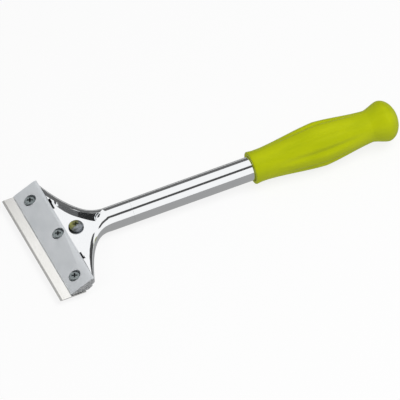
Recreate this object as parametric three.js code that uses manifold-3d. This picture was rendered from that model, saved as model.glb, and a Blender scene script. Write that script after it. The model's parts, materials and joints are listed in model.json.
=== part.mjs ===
// Hand paint scraper with a replaceable blade, in millimetres, +Z up.
// The tool is drawn along its shaft: x runs from the cutting edge (x = 0) towards the grip,
// y to the far side, and z up from the shaft's axis. The finished tool is then tilted so that
// its sole and the swell of its grip both lie on the plane z = 0, with the origin under its middle.
import * as THREE from 'three';
import { mergeVertices } from 'three/addons/utils/BufferGeometryUtils.js';
import loadManifold from 'manifold-3d';

const manifold = await loadManifold();
manifold.setup();

const degree = Math.PI / 180;

// Blade
const bladeLength = 100;
const bladeDepth = 18;
const bladeThickness = 0.6;
const bladeBevel = 1.4;
const bladeEdgeLand = 0.08;
const bladeReach = 8; // cutting edge ahead of the clamp bar's nose
const bladeDrop = 3.7; // mid-plane of the blade below the shaft's axis

// Clamp bar: a wedge that presses the blade on the casting's shelf
const barEndInset = 0.7; // bar's ends inside the blade's
const barDepth = 14.9;
const barNoseHeight = 1.1;
const barSlope = 25.5 * degree;
const barReliefDepth = 3;
const barReliefHeight = 2;
const barLip = 1.75; // rear lip over the casting's wall

// Clamp screws: pan heads sunk in the bar's slope, shanks in the casting's shelf
const screwDiameter = 4;
const screwHeadDiameter = 7.4;
const screwHeadHeight = 2.4;
const screwHeadCrown = 0.8; // height of the rounded rim of the head
const screwHeadProud = 0.3; // head's top above the slope, measured at the screw's axis
const screwCrossSpan = 4.2;
const screwCrossWidth = 0.9;
const screwCrossDepth = 1.3;
const screwTipCover = 0.5; // sole left below the screw's tip
const endScrewInset = 11.4; // from the bar's ends
const endScrewSetback = 7.2; // behind the bar's nose
const centreScrewInset = 3.4; // ahead of the bar's rear face

// Head casting
const armTop = 4.7; // above the shaft's axis
const webTop = 3.2; // floor of the pocket between the ribs
const webThickness = 6;
const pocketWidth = 54; // along the clamp bar
const shelfThickness = 3.9; // under the blade, down to the sole
const shelfSetback = 0.6; // shelf's front edge behind the bar's nose
const shelfBevel = 3.8;
const shelfEndCover = 4.1; // shelf past the end screws' axes
const shelfWall = 5; // wall behind the bar, measured along the shaft
const flareLength = 30;
const flarePower = 2.2;
const ribThicknessNeck = 6.4;
const ribThicknessEnd = 4.2;
const ribHeightRoot = 11;
const ribHeightShoulder = 10;
const ribHeightEnd = 5.8;
const ribShoulderAt = 0.4; // share of the flare's length where the ribs begin to fall away
const ribEndRise = 1.7; // middle of the rib above the shaft's axis at the head's ends
const ribRoot = 4; // rib's root sunk in the neck
const armEnd = 1.6; // depth of the head's ends behind the clamp bar
const neckLength = 15; // plain round neck behind the flare
const neckForward = 3; // full round neck carried on between the ribs
const neckNose = 9; // rounded front end of the neck
const spineWidth = 11;
const spineFlat = 12; // length of the spine that lies in the sole
const spineRise = 16;
const spineSink = 0.4; // spine's rear edges sunk in the neck

// Shaft: chromed tube on a steel tang, which the lock screw holds in the casting
const tubeDiameter = 16;
const tubeWall = 1.5;
const tubeExposed = 85;
const tangPlugLength = 28;
const tongueWidth = 8;
const tongueThickness = 4.8;
const tongueTop = 0.4; // above the shaft's axis
const lockScrewBehindWall = 4; // lock screw's axis behind the wall of the shelf
const lockScrewHead = 10;
const lockScrewHeadHeight = 2.8;
const lockScrewHeadCrown = 2;
const lockScrewShank = 5;
const lockScrewCrossSpan = 5.2;
const lockScrewCrossWidth = 1.1;
const lockScrewCrossDepth = 1.6;

// Grip, front to rear
const gripRimRadius = 11;
const gripThroatRadius = 10.6;
const gripSwellRadius = 14.85;
const gripWaistRadius = 10.7;
const gripKnobRadius = 13.8;
const gripThroatLength = 8;
const gripFrontLength = 40.7; // throat to swell
const gripRearLength = 34.5; // swell to waist
const gripNeckLength = 10.6; // waist to knob
const gripDomeLength = 9.8; // knob to the end
const gripEndWall = 15.7; // solid end behind the grip's bore
const fluteCount = 8;
const fluteDepth = 0.7;

// Plug in the tube's rear end
const plugLength = 12;
const plugFlange = 1.6;

// Clearances between the pieces
const seatGap = 0.3; // faces that rest on one another
const shankGap = 0.25; // round a screw's shank
const headGap = 0.3; // round a screw's head
const slotGap = 0.6; // between a clamp screw and the blade's slot
const fitGap = 0.2; // between the tube and what fills or covers it

// Places that follow from the sizes
const barLength = bladeLength - 2 * barEndInset;
const barNoseX = bladeReach;
const barRearX = barNoseX + barDepth;
const bladeTop = -bladeDrop + bladeThickness / 2;
const bladeBottom = -bladeDrop - bladeThickness / 2;
const barBottom = bladeTop + seatGap;
const barNoseTop = barBottom + barNoseHeight;
const barRearTop = barNoseTop + barDepth * Math.tan(barSlope);
const shelfTop = bladeBottom - seatGap;
const shelfFrontX = barNoseX + shelfSetback;
const soleFrontX = shelfFrontX + shelfBevel;
const soleFrontZ = shelfTop - shelfThickness;
const endScrewX = barNoseX + endScrewSetback;
const endScrewY = barLength / 2 - endScrewInset;
const centreScrewX = barRearX - centreScrewInset;
const headWidth = barLength;
const shelfWidth = 2 * (endScrewY + shelfEndCover);
const wallX = Math.max(barRearX, bladeDepth) + seatGap;
const wallRearX = wallX + shelfWall;
const neckRadius = tubeDiameter / 2;
const boreRadius = neckRadius - tubeWall;
const flareEndX = wallX + armEnd;
const flareStartX = flareEndX + flareLength;
const seamX = flareStartX + neckLength;
const tubeFrontX = seamX + seatGap;
const gripFrontX = tubeFrontX + tubeExposed;
const gripSwellX = gripFrontX + gripThroatLength + gripFrontLength;
const gripWaistX = gripSwellX + gripRearLength;
const gripKnobX = gripWaistX + gripNeckLength;
const gripEndX = gripKnobX + gripDomeLength;
const gripBoreEndX = gripEndX - gripEndWall;
const plugRearX = gripBoreEndX - seatGap;
const tubeRearX = plugRearX - plugFlange - seatGap;
const lockScrewX = wallRearX + lockScrewBehindWall;
const tongueTipX = lockScrewX - lockScrewHead / 2;
const tongueBottom = tongueTop - tongueThickness;

// Round shapes are drawn with these numbers of sides and steps
const roundSides = 32;
const gripSides = 48;
const gripSteps = 7; // in each stretch of the grip
const ribSides = 14;
const ribSteps = 20;

// Booleans

const weldDistance = 1e-3;

function toSolid(geometry) {
  const bare = geometry.clone();
  bare.deleteAttribute('normal');
  bare.deleteAttribute('uv');
  const welded = mergeVertices(bare, weldDistance);
  const corners = welded.index.array;
  const triangles = [];
  for (let i = 0; i < corners.length; i += 3) {
    const [a, b, c] = [corners[i], corners[i + 1], corners[i + 2]];
    if (a !== b && b !== c && c !== a) triangles.push(a, b, c);
  }
  return new manifold.Manifold(new manifold.Mesh({
    numProp: 3,
    vertProperties: new Float32Array(welded.attributes.position.array),
    triVerts: new Uint32Array(triangles),
  }));
}

function toGeometry(solid) {
  const mesh = solid.getMesh();
  const geometry = new THREE.BufferGeometry();
  geometry.setAttribute('position', new THREE.BufferAttribute(mesh.vertProperties, 3));
  geometry.setIndex(new THREE.BufferAttribute(mesh.triVerts, 1));
  geometry.computeVertexNormals();
  return geometry;
}

// Basic shapes

function block(x0, x1, y0, y1, z0, z1) {
  const box = new THREE.BoxGeometry(x1 - x0, y1 - y0, z1 - z0);
  return toSolid(box.translate((x0 + x1) / 2, (y0 + y1) / 2, (z0 + z1) / 2));
}

// A side profile, given as [x, z] corners, carried across the tool.
function acrossTool(profile, width) {
  const shape = new THREE.Shape(profile.map(([x, z]) => new THREE.Vector2(x, z)));
  const solid = new THREE.ExtrudeGeometry(shape, { depth: width, bevelEnabled: false });
  return toSolid(solid.rotateX(Math.PI / 2).translate(0, width / 2, 0));
}

// A plan outline, carried from one height to another.
function upright(shape, z0, z1) {
  const solid = new THREE.ExtrudeGeometry(shape, { depth: z1 - z0, bevelEnabled: false });
  return toSolid(solid.translate(0, 0, z0));
}

function pin(x, y, diameter, z0, z1, sides = roundSides) {
  const cylinder = new THREE.CylinderGeometry(diameter / 2, diameter / 2, z1 - z0, sides);
  return toSolid(cylinder.rotateX(Math.PI / 2).translate(x, y, (z0 + z1) / 2));
}

// A profile of [x, radius] points turned about the shaft's axis.
function turned(profile, sides = roundSides) {
  const points = profile.map(([x, radius]) => new THREE.Vector2(radius, x));
  return new THREE.LatheGeometry(points, sides).rotateZ(-Math.PI / 2);
}

// Rings of equally many points, skinned and closed by a fan at each end.
function loft(rings) {
  const count = rings[0].length;
  const middle = (ring) => ring.reduce((sum, p) => sum.add(p), new THREE.Vector3()).divideScalar(count);
  const points = [...rings.flat(), middle(rings[0]), middle(rings.at(-1))];
  const firstCentre = points.length - 2;
  const lastCentre = points.length - 1;
  const lastRing = (rings.length - 1) * count;
  const index = [];
  for (let k = 0; k < count; k += 1) {
    const next = (k + 1) % count;
    for (let row = 0; row < lastRing; row += count) {
      index.push(row + k, row + next, row + count + k);
      index.push(row + next, row + count + next, row + count + k);
    }
    index.push(firstCentre, next, k);
    index.push(lastCentre, lastRing + k, lastRing + next);
  }
  const geometry = new THREE.BufferGeometry().setFromPoints(points);
  return geometry.setIndex(index);
}

// Grip: turned about the shaft, with shallow flutes over its swell

const smooth = THREE.MathUtils.smoothstep;

// A stretch of the grip's side from one radius to another, level at both ends.
function gripStretch(fromX, toX, fromRadius, toRadius) {
  const points = [];
  for (let i = 1; i <= gripSteps; i += 1) {
    const share = i / gripSteps;
    const eased = (share + smooth(share, 0, 1)) / 2;
    const radius = THREE.MathUtils.lerp(fromRadius, toRadius, eased);
    points.push([THREE.MathUtils.lerp(fromX, toX, share), radius]);
  }
  return points;
}

function gripDome() {
  const points = [];
  for (let i = 1; i < gripSteps; i += 1) {
    const turn = (i / gripSteps) * (Math.PI / 2);
    points.push([gripKnobX + gripDomeLength * Math.sin(turn), gripKnobRadius * Math.cos(turn)]);
  }
  return points;
}

const gripSide = [
  [gripFrontX, gripRimRadius],
  [gripFrontX + gripThroatLength / 2, gripThroatRadius],
  [gripFrontX + gripThroatLength, gripThroatRadius],
  ...gripStretch(gripFrontX + gripThroatLength, gripSwellX, gripThroatRadius, gripSwellRadius),
  ...gripStretch(gripSwellX, gripWaistX, gripSwellRadius, gripWaistRadius),
  ...gripStretch(gripWaistX, gripKnobX, gripWaistRadius, gripKnobRadius),
  ...gripDome(),
  [gripEndX, 0],
];

function makeGrip() {
  const boreRadiusInGrip = neckRadius + fitGap;
  const profile = [
    [gripBoreEndX, 0],
    [gripBoreEndX, boreRadiusInGrip],
    [gripFrontX, boreRadiusInGrip],
    ...gripSide,
  ];
  const geometry = turned(profile, gripSides);
  const place = geometry.attributes.position;
  const fluteFrontX = gripFrontX + gripThroatLength;
  for (let i = 0; i < place.count; i += 1) {
    const [x, y, z] = [place.getX(i), place.getY(i), place.getZ(i)];
    const radius = Math.hypot(y, z);
    if (radius <= boreRadiusInGrip || x <= fluteFrontX || x >= gripWaistX) continue;
    const fade = smooth(x, fluteFrontX, gripSwellX) * (1 - smooth(x, gripSwellX, gripWaistX));
    // a ridge, not a flute, lies at the bottom, where the grip touches the bench
    const groove = (1 - Math.cos(fluteCount * Math.atan2(y, -z))) / 2;
    const share = (radius - fluteDepth * fade * groove) / radius;
    place.setXYZ(i, x, y * share, z * share);
  }
  return toSolid(geometry);
}

// The tool lies on the front edge of its sole and on the grip's lowest point.
const restSlope = Math.max(...gripSide.map(([x, radius]) => (radius + soleFrontZ) / (x - soleFrontX)));
const restTilt = Math.atan(restSlope);
const soleZ = (x) => soleFrontZ - (x - soleFrontX) * restSlope;

// Blade: ground along one edge, slotted from behind for the two end screws

const clampScrews = [
  { name: 'clamp_screw_near', x: endScrewX, y: -endScrewY },
  { name: 'clamp_screw_centre', x: centreScrewX, y: 0 },
  { name: 'clamp_screw_far', x: endScrewX, y: endScrewY },
];

function makeBlade() {
  let blade = acrossTool([
    [0, bladeBottom],
    [bladeDepth, bladeBottom],
    [bladeDepth, bladeTop],
    [bladeBevel, bladeTop],
    [0, bladeBottom + bladeEdgeLand],
  ], bladeLength);
  const slotRadius = screwDiameter / 2 + slotGap;
  for (const { x, y } of clampScrews) {
    const slot = new THREE.Shape();
    slot.moveTo(x + bladeDepth, y + slotRadius);
    slot.lineTo(x, y + slotRadius);
    slot.absarc(x, y, slotRadius, Math.PI / 2, 1.5 * Math.PI, false);
    slot.lineTo(x + bladeDepth, y - slotRadius);
    blade = blade.subtract(upright(slot, bladeBottom - bladeThickness, bladeTop + bladeThickness));
  }
  return blade;
}

// Clamp bar and its screws

const slopeZ = (x) => barNoseTop + (x - barNoseX) * Math.tan(barSlope);
const headTopZ = (x) => slopeZ(x) + screwHeadProud;
const headSeatZ = (x) => headTopZ(x) - screwHeadHeight;
const screwTipZ = (x) => soleZ(x) + screwTipCover;

// The room that a screw's head takes, open to the top.
function headRoom({ x, y }) {
  const above = barRearTop + screwHeadHeight;
  return pin(x, y, screwHeadDiameter + 2 * headGap, headSeatZ(x) - seatGap, above);
}

// The hole for a screw's shank, right through the bar and the shelf.
function shankHole({ x, y }) {
  return pin(x, y, screwDiameter + 2 * shankGap, soleZ(x) - shelfThickness, barRearTop);
}

function makeBar() {
  let bar = acrossTool([
    [barNoseX, barBottom],
    [barRearX - barReliefDepth, barBottom],
    [barRearX, barBottom + barReliefHeight],
    [barRearX, webTop + seatGap],
    [barRearX + barLip, webTop + seatGap],
    [barRearX + barLip, barRearTop],
    [barRearX, barRearTop],
    [barNoseX, barNoseTop],
  ], barLength);
  for (const screw of clampScrews) bar = bar.subtract(headRoom(screw)).subtract(shankHole(screw));
  return bar;
}

// A screw along z with a rounded head and a cross recess.
function makeScrew({ x, y, tip, seat, shank, head, headHeight, crown, cross }) {
  const top = seat + headHeight;
  const crownSteps = 5;
  const profile = [[0, tip], [shank / 2, tip], [shank / 2, seat], [head / 2, seat]];
  for (let i = 0; i <= crownSteps; i += 1) {
    const turn = (i / crownSteps) * (Math.PI / 2);
    profile.push([head / 2 - crown * (1 - Math.cos(turn)), top - crown * (1 - Math.sin(turn))]);
  }
  profile.push([0, top]);
  const points = profile.map(([radius, z]) => new THREE.Vector2(radius, z));
  const turnedScrew = new THREE.LatheGeometry(points, roundSides).rotateX(Math.PI / 2);
  const halfSpan = cross.span / 2;
  const halfWidth = cross.width / 2;
  const bottom = top - cross.depth;
  const above = top + headHeight;
  return toSolid(turnedScrew.translate(x, y, 0))
    .subtract(block(x - halfSpan, x + halfSpan, y - halfWidth, y + halfWidth, bottom, above))
    .subtract(block(x - halfWidth, x + halfWidth, y - halfSpan, y + halfSpan, bottom, above));
}

function makeClampScrew({ x, y }) {
  return makeScrew({
    x,
    y,
    tip: screwTipZ(x),
    seat: headSeatZ(x),
    shank: screwDiameter,
    head: screwHeadDiameter,
    headHeight: screwHeadHeight,
    crown: screwHeadCrown,
    cross: { span: screwCrossSpan, width: screwCrossWidth, depth: screwCrossDepth },
  });
}

// Head casting: shelf and wall round the clamp, a flat web between two flaring ribs, a round neck

// Outer edge of the flare at a place along it, from 0 at the neck to 1 at the head's end.
function flareAt(place) {
  const along = Math.max(place, 0);
  const spread = headWidth / 2 - neckRadius;
  const x = flareStartX - flareLength * place;
  const y = neckRadius + spread * along ** flarePower;
  const outward = new THREE.Vector2(spread * flarePower * along ** (flarePower - 1), flareLength);
  return { edge: new THREE.Vector2(x, y), outward: outward.normalize() };
}

function insideFlare(place, distance) {
  const { edge, outward } = flareAt(place);
  return edge.addScaledVector(outward, -distance);
}

function ribThickness(place) {
  return THREE.MathUtils.lerp(ribThicknessNeck, ribThicknessEnd, Math.max(place, 0));
}

// An outline of the head seen from above, from the points of its far side.
function symmetricOutline(farSide) {
  const nearSide = farSide.map((point) => new THREE.Vector2(point.x, -point.y)).reverse();
  return new THREE.Shape([...farSide, ...nearSide]);
}

function ribHeight(place) {
  const along = Math.max(place, 0);
  const rising = THREE.MathUtils.lerp(ribHeightRoot, ribHeightShoulder, smooth(along, 0, ribShoulderAt));
  return THREE.MathUtils.lerp(rising, ribHeightEnd, smooth(along, ribShoulderAt, 1));
}

const flarePlaces = Array.from({ length: ribSteps + 1 }, (_, i) => {
  const first = -ribRoot / flareLength;
  return first + (1 - first) * (i / ribSteps);
});
const ribMiddle = flarePlaces.map((place) => insideFlare(place, ribThickness(place) / 2));

function makeRib(side) {
  const rings = flarePlaces.map((place) => {
    const { outward } = flareAt(place);
    const thickness = ribThickness(place);
    const centre = insideFlare(place, thickness / 2);
    const middleZ = ribEndRise * Math.max(place, 0);
    const ring = [];
    for (let k = 0; k < ribSides; k += 1) {
      const turn = -side * (k / ribSides) * 2 * Math.PI;
      const across = (thickness / 2) * Math.cos(turn);
      const up = (ribHeight(place) / 2) * Math.sin(turn);
      const y = side * (centre.y + outward.y * across);
      ring.push(new THREE.Vector3(centre.x + outward.x * across, y, middleZ + up));
    }
    return ring;
  });
  return toSolid(loft(rings));
}

// The flat body between the ribs, with a pocket in its top that is open towards the clamp bar.
function makeBody() {
  const ribInside = flarePlaces.map((place) => insideFlare(place, ribThickness(place)));
  const pocketSide = ribInside.filter((point) => point.y < pocketWidth / 2);
  const corner = new THREE.Vector2(pocketSide.at(-1).x, pocketWidth / 2);
  const mouth = new THREE.Vector2(wallX - ribThicknessEnd, pocketWidth / 2);
  const pocket = symmetricOutline([...pocketSide, corner, mouth]);
  const body = upright(symmetricOutline(ribMiddle), webTop - webThickness, armTop);
  return body.subtract(upright(pocket, webTop, armTop + webThickness));
}

function makeNeck() {
  const noseRearX = flareStartX - neckForward;
  const profile = [];
  const noseSteps = 8;
  for (let i = 0; i <= noseSteps; i += 1) {
    const turn = (i / noseSteps) * (Math.PI / 2);
    profile.push([noseRearX - neckNose * Math.cos(turn), neckRadius * Math.sin(turn)]);
  }
  profile.push([seamX, neckRadius], [seamX, 0]);
  return toSolid(turned(profile, gripSides));
}

// The shelf under the blade and the wall behind the bar, kept inside the ribs.
function makeShelf() {
  const shelf = acrossTool([
    [shelfFrontX, shelfTop],
    [soleFrontX, soleFrontZ],
    [wallRearX, soleZ(wallRearX)],
    [wallRearX, webTop],
    [wallX, webTop],
    [wallX, shelfTop],
  ], shelfWidth);
  const front = new THREE.Vector2(0, headWidth / 2);
  const headPlan = upright(symmetricOutline([...ribMiddle, front]), soleZ(seamX), armTop);
  return shelf.intersect(headPlan);
}

// The spine under the tang's slot: flat with the sole, then running out into the neck.
function makeSpine() {
  const flatEndX = wallX + spineFlat;
  const rearX = flatEndX + spineRise;
  const rearZ = spineSink - Math.sqrt(neckRadius ** 2 - (spineWidth / 2) ** 2);
  return acrossTool([
    [wallX, soleZ(wallX)],
    [flatEndX, soleZ(flatEndX)],
    [rearX, rearZ],
    [rearX, 0],
    [wallX, 0],
  ], spineWidth);
}

function makeCasting() {
  let casting = makeBody()
    .add(makeNeck())
    .add(makeRib(1))
    .add(makeRib(-1))
    .add(makeShelf())
    .add(makeSpine());
  // the room for the bar and the blade, open to the front
  const clear = barRearTop + webThickness;
  casting = casting.subtract(block(-bladeDepth, wallX, -headWidth, headWidth, shelfTop, clear));
  // a step under the bar's lip
  casting = casting.subtract(block(0, wallX + barLip, -headWidth, headWidth, webTop, clear));
  for (const screw of clampScrews) casting = casting.subtract(headRoom(screw)).subtract(shankHole(screw));
  // the slot for the tang's tongue, and the hole for the lock screw
  const slotSide = tongueWidth / 2 + seatGap;
  const slotTop = tongueTop + seatGap;
  casting = casting.subtract(
    block(tongueTipX - seatGap, seamX + neckRadius, -slotSide, slotSide, tongueBottom - seatGap, slotTop),
  );
  const lockHole = pin(lockScrewX, 0, lockScrewShank + 2 * shankGap, tongueTop, webTop + webThickness);
  return casting.subtract(lockHole);
}

// Shaft

function makeTube() {
  return toSolid(turned([
    [tubeFrontX, boreRadius],
    [tubeFrontX, neckRadius],
    [tubeRearX, neckRadius],
    [tubeRearX, boreRadius],
    [tubeFrontX, boreRadius],
  ], gripSides));
}

function makeTang() {
  const radius = boreRadius - fitGap;
  const rearX = tubeFrontX + tangPlugLength;
  const plug = turned([[tubeFrontX, 0], [tubeFrontX, radius], [rearX, radius], [rearX, 0]]);
  const side = tongueWidth / 2;
  const tongue = block(tongueTipX, tubeFrontX + tangPlugLength / 2, -side, side, tongueBottom, tongueTop);
  const holeBottom = tongueBottom - tongueThickness;
  const holeTop = tongueTop + tongueThickness;
  const tapped = pin(lockScrewX, 0, lockScrewShank + 2 * shankGap, holeBottom, holeTop);
  return toSolid(plug).add(tongue).subtract(tapped);
}

function makeLockScrew() {
  return makeScrew({
    x: lockScrewX,
    y: 0,
    tip: tongueBottom,
    seat: webTop + seatGap,
    shank: lockScrewShank,
    head: lockScrewHead,
    headHeight: lockScrewHeadHeight,
    crown: lockScrewHeadCrown,
    cross: { span: lockScrewCrossSpan, width: lockScrewCrossWidth, depth: lockScrewCrossDepth },
  });
}

function makePlug() {
  const shankRadius = boreRadius - fitGap;
  const shankFrontX = tubeRearX - plugLength;
  const flangeFrontX = tubeRearX + seatGap;
  return toSolid(turned([
    [shankFrontX, 0],
    [shankFrontX, shankRadius],
    [flangeFrontX, shankRadius],
    [flangeFrontX, neckRadius],
    [plugRearX, neckRadius],
    [plugRearX, 0],
  ]));
}

// Finishes

function finish(color, roughness, metalness) {
  return new THREE.MeshStandardMaterial({ color, roughness, metalness });
}
const chrome = finish(0xdfe2e4, 0.12, 1);
const satinZinc = finish(0xbdc1c4, 0.5, 0.8);
const bladeSteel = finish(0xe6e6e2, 0.35, 0.9);
const zincPlate = finish(0x9aa0a0, 0.35, 0.9);
const yellowZinc = finish(0xb7a85a, 0.4, 0.8);
const bareSteel = finish(0x8c9094, 0.45, 0.9);
const limeGrip = finish(0xaab707, 0.45, 0);
const plugPlastic = finish(0x2b2c2e, 0.6, 0);

// Assembly

const tool = new THREE.Group();
function place(name, solid, material) {
  const mesh = new THREE.Mesh(toGeometry(solid), material);
  mesh.name = name;
  tool.add(mesh);
}

place('head_casting', makeCasting(), chrome);
place('clamp_bar', makeBar(), satinZinc);
place('blade', makeBlade(), bladeSteel);
for (const screw of clampScrews) place(screw.name, makeClampScrew(screw), zincPlate);
place('shaft_tube', makeTube(), chrome);
place('shaft_tang', makeTang(), bareSteel);
place('shaft_lock_screw', makeLockScrew(), yellowZinc);
place('grip', makeGrip(), limeGrip);
place('tube_end_plug', makePlug(), plugPlastic);

tool.rotation.y = -restTilt;
const scraper = new THREE.Group();
scraper.add(tool);
scraper.updateMatrixWorld(true);
const bounds = new THREE.Box3().setFromObject(scraper, true);
const middle = bounds.getCenter(new THREE.Vector3());
tool.position.set(-middle.x, -middle.y, -bounds.min.z);
scraper.updateMatrixWorld(true);

export default scraper;
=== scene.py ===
import json
import math

import bpy
from mathutils import Matrix, Vector


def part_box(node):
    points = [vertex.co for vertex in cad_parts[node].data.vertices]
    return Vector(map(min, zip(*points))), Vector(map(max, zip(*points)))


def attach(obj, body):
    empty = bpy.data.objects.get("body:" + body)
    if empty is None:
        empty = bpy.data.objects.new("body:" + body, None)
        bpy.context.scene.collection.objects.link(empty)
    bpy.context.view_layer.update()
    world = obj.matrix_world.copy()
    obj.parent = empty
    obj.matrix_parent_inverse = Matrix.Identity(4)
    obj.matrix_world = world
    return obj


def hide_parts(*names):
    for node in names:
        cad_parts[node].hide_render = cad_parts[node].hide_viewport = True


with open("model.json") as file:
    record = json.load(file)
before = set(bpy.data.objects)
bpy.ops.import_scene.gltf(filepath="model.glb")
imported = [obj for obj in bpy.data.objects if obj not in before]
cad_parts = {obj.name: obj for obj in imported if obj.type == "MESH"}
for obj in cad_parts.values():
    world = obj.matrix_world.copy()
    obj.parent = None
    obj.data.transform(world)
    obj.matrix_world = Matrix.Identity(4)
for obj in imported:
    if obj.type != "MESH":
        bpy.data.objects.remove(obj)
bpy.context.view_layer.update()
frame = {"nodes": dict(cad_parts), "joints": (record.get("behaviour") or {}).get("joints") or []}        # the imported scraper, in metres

# The tool's own axes: x from the cutting edge to the grip, y to the far side, z up from the shaft's
# axis. Pieces are modelled along them in millimetres, then one matrix drops them into the frame.
jointAxis = {joint["name"]: Vector(joint["axis"]) for joint in frame["joints"]}
toolBack = -jointAxis["blade_slide"]
toolUp = jointAxis["clamp_lift"]
toolSide = toolUp.cross(toolBack)
millimetre = 0.001
shaftMiddle = sum(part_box("shaft_tube"), Vector()) / 2
bladePoints = [vertex.co - shaftMiddle for vertex in frame["nodes"]["blade"].data.vertices]
toolOrigin = shaftMiddle + toolBack * min(point.dot(toolBack) for point in bladePoints)
toolTurn = Matrix((toolBack, toolSide, toolUp)).transposed()
toFrame = Matrix.Translation(toolOrigin) @ toolTurn.to_4x4() @ Matrix.Scale(millimetre, 4)


def toolBox(nodeName):                # a node's lowest and highest corners along the tool's axes, in mm
    fromFrame = toFrame.inverted()
    points = [fromFrame @ vertex.co for vertex in frame["nodes"][nodeName].data.vertices]
    low = Vector(min(point[axis] for point in points) for axis in range(3))
    high = Vector(max(point[axis] for point in points) for axis in range(3))
    return low, high


headLow, headHigh = toolBox("head_casting")
barLow, barHigh = toolBox("clamp_bar")
bladeLow, bladeHigh = toolBox("blade")
tubeLow, tubeHigh = toolBox("shaft_tube")
gripLow, gripHigh = toolBox("grip")
lockLow, lockHigh = toolBox("shaft_lock_screw")
lockX = (lockLow.x + lockHigh.x) / 2
shaftRadius = tubeHigh.y
print("frame ready, tool length", round(gripHigh.x, 1), "mm")

# Modelling helpers
mergeDistance = 0.002                 # mm
turnedSides = 64
boreSides = 48                        # of narrow holes and slots
creaseAngle = 40                      # edges sharper than this stay sharp, in degrees


def clearSelection():
    bpy.ops.object.select_all(action="DESELECT")


def lerp(first, last, share):
    return first + (last - first) * share


def smoothStep(value, low, high):
    share = min(max((value - low) / (high - low), 0), 1)
    return share * share * (3 - 2 * share)


def drawLine(points):                 # a chain of edges, left selected in edit mode
    clearSelection()
    bpy.ops.mesh.primitive_plane_add(size=1)
    bpy.ops.object.mode_set(mode="EDIT")
    bpy.ops.mesh.merge(type="CENTER")
    bpy.ops.transform.translate(value=points[0])
    for here, there in zip(points, points[1:]):
        step = Vector(there) - Vector(here)
        bpy.ops.mesh.extrude_region_move(TRANSFORM_OT_translate={"value": step})
    bpy.ops.mesh.select_all(action="SELECT")
    return bpy.context.object


def closeMesh():                      # weld, turn the faces outwards, leave edit mode
    bpy.ops.mesh.select_all(action="SELECT")
    bpy.ops.mesh.remove_doubles(threshold=mergeDistance)
    bpy.ops.mesh.normals_make_consistent(inside=False)
    bpy.ops.object.mode_set(mode="OBJECT")


def spinLine(points, axis, steps):
    solid = drawLine(points)
    bpy.ops.mesh.spin(steps=steps, angle=2 * math.pi, center=(0, 0, 0), axis=axis)
    closeMesh()
    return solid


def turnAlong(profile, steps):        # (x, radius) pairs turned about the shaft's axis
    return spinLine([(x, 0, radius) for x, radius in profile], (1, 0, 0), steps)


def turnUpright(profile, steps):      # (radius, z) pairs turned about an upright axis
    return spinLine([(radius, 0, z) for radius, z in profile], (0, 0, 1), steps)


def prism(outline, step):             # a closed outline carried along one step
    solid = drawLine([*outline, outline[0]])
    bpy.ops.mesh.remove_doubles(threshold=mergeDistance)
    bpy.ops.mesh.edge_face_add()
    bpy.ops.mesh.extrude_region_move(TRANSFORM_OT_translate={"value": step})
    closeMesh()
    return solid


def prismAcross(profile, width):      # (x, z) corners carried across the tool
    return prism([(x, -width / 2, z) for x, z in profile], (0, width, 0))


def prismUpright(outline, low, high):  # (x, y) corners carried upwards
    return prism([(x, y, low) for x, y in outline], (0, 0, high - low))


def block(low, high):
    clearSelection()
    middle = (Vector(low) + Vector(high)) / 2
    bpy.ops.mesh.primitive_cube_add(size=1, location=middle, scale=Vector(high) - Vector(low))
    bpy.ops.object.transform_apply()
    return bpy.context.object


def pin(x, y, radius, low, high, sides):
    clearSelection()
    place = (x, y, (low + high) / 2)
    bpy.ops.mesh.primitive_cylinder_add(vertices=sides, radius=radius, depth=high - low, location=place)
    bpy.ops.object.transform_apply()
    return bpy.context.object


def joinPieces(first, *others):
    clearSelection()
    for other in (first, *others):
        other.select_set(True)
    bpy.context.view_layer.objects.active = first
    bpy.ops.object.join()
    return first


def makeRing(centre, outward, halfWidth, halfHeight, sides):
    clearSelection()
    bpy.ops.mesh.primitive_circle_add(vertices=sides, radius=1)
    upright = Vector((0, 0, 1))
    turn = Matrix((outward * halfWidth, upright * halfHeight, outward.cross(upright))).transposed()
    ring = bpy.context.object
    ring.matrix_world = Matrix.Translation(centre) @ turn.to_4x4()
    bpy.ops.object.transform_apply()
    return ring


def loft(rings):                      # rings bridged one after the other, and capped
    solid = joinPieces(*rings)
    bpy.ops.object.mode_set(mode="EDIT")
    bpy.ops.mesh.select_all(action="SELECT")
    bpy.ops.mesh.bridge_edge_loops()
    bpy.ops.mesh.select_all(action="SELECT")
    bpy.ops.mesh.fill_holes(sides=0)
    closeMesh()
    return solid


def applyModifier(piece, kind, **settings):
    clearSelection()
    piece.select_set(True)
    bpy.context.view_layer.objects.active = piece
    modifier = piece.modifiers.new(kind, kind)
    for setting, value in settings.items():
        setattr(modifier, setting, value)
    bpy.ops.object.modifier_apply(modifier=modifier.name)


def combine(piece, operation, *others):
    for other in others:
        applyModifier(piece, "BOOLEAN", operation=operation, object=other, solver="MANIFOLD")
        bpy.data.meshes.remove(other.data)


def smoothShade(piece, angle):
    clearSelection()
    piece.select_set(True)
    bpy.context.view_layer.objects.active = piece
    bpy.ops.object.shade_smooth_by_angle(angle=math.radians(angle))


def flatFaces(piece, angle):          # smooth by angle, with the big faces kept flat
    smoothShade(piece, angle)
    applyModifier(piece, "WEIGHTED_NORMAL", keep_sharp=True)


def finishPiece(piece, name, body, slotName, nodeName, *finishNames):
    piece.name = name
    piece.data.name = name
    piece.data.transform(toFrame)
    piece.data.materials.clear()
    for finishName in finishNames:
        piece.data.materials.append(finishes[finishName])
    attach(piece, body)
    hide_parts(nodeName)
    print("made", name, len(piece.data.polygons), "faces")


# Finishes: patterns lie along the tool's axes, in grains of a given size in mm
def linearLevel(level):               # a level on screen, 0 to 255, as linear light
    share = level / 255
    if share <= 0.04045:
        return share / 12.92
    return ((share + 0.055) / 1.055) ** 2.4


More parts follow.
